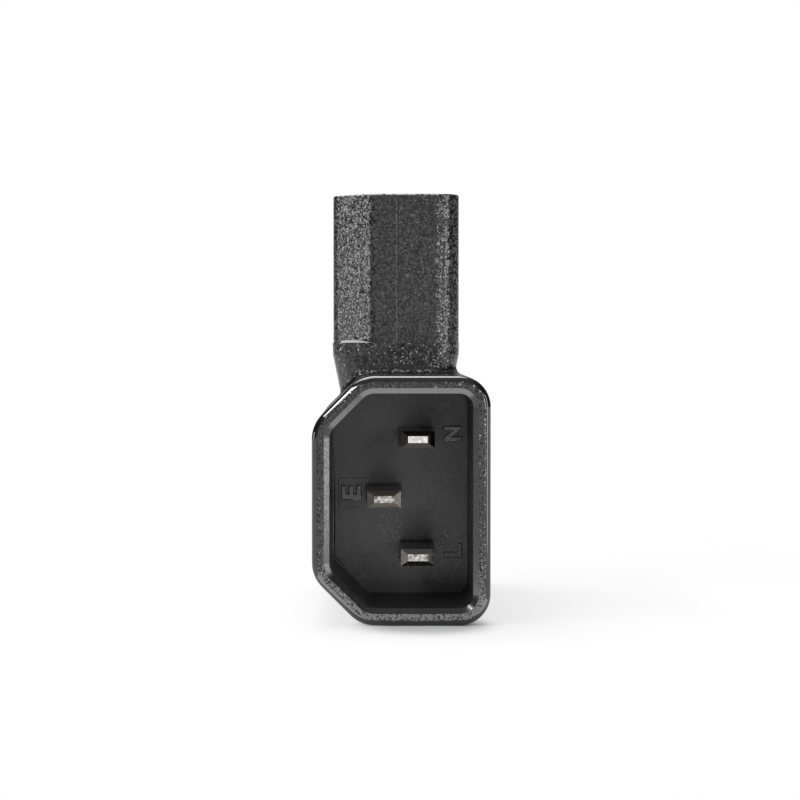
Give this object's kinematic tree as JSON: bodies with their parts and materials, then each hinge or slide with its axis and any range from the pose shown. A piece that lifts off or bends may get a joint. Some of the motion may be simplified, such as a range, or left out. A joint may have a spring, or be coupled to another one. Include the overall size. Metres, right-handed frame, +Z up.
{
  "type": "angled power plug adapter",
  "caption": "Right-angle mains adapter: a keyed inlet with flat pins in a shroud faces forward, and a keyed connector nose with slots rises behind it.",
  "frame": {"origin": "on the resting surface, under the middle of the bounding box", "axes": "+X to the right when looking into the inlet, +Y from the inlet's rim to the elbow's rear, +Z up along the nose"},
  "size_m": [0.0208, 0.0482, 0.0517],
  "materials": {
    "soft_pvc": "spark-eroded matt black",
    "nose_plastic": "spark-eroded matt black",
    "hard_plastic": "satin black",
    "plated_brass": "nickel plated, bright",
    "spring_brass": "bare brass sheet"
  },
  "bodies": {
    "root": {"outer_moulding": "soft_pvc", "inlet_insert": "hard_plastic", "contact_housing": "nose_plastic", "contact_retainer": "hard_plastic", "line_pin": "plated_brass", "neutral_pin": "plated_brass", "earth_pin": "plated_brass", "line_contact": "spring_brass", "neutral_contact": "spring_brass", "earth_contact": "spring_brass", "line_strap": "spring_brass", "neutral_strap": "spring_brass", "earth_strap": "spring_brass"}
  },
  "joints": []
}
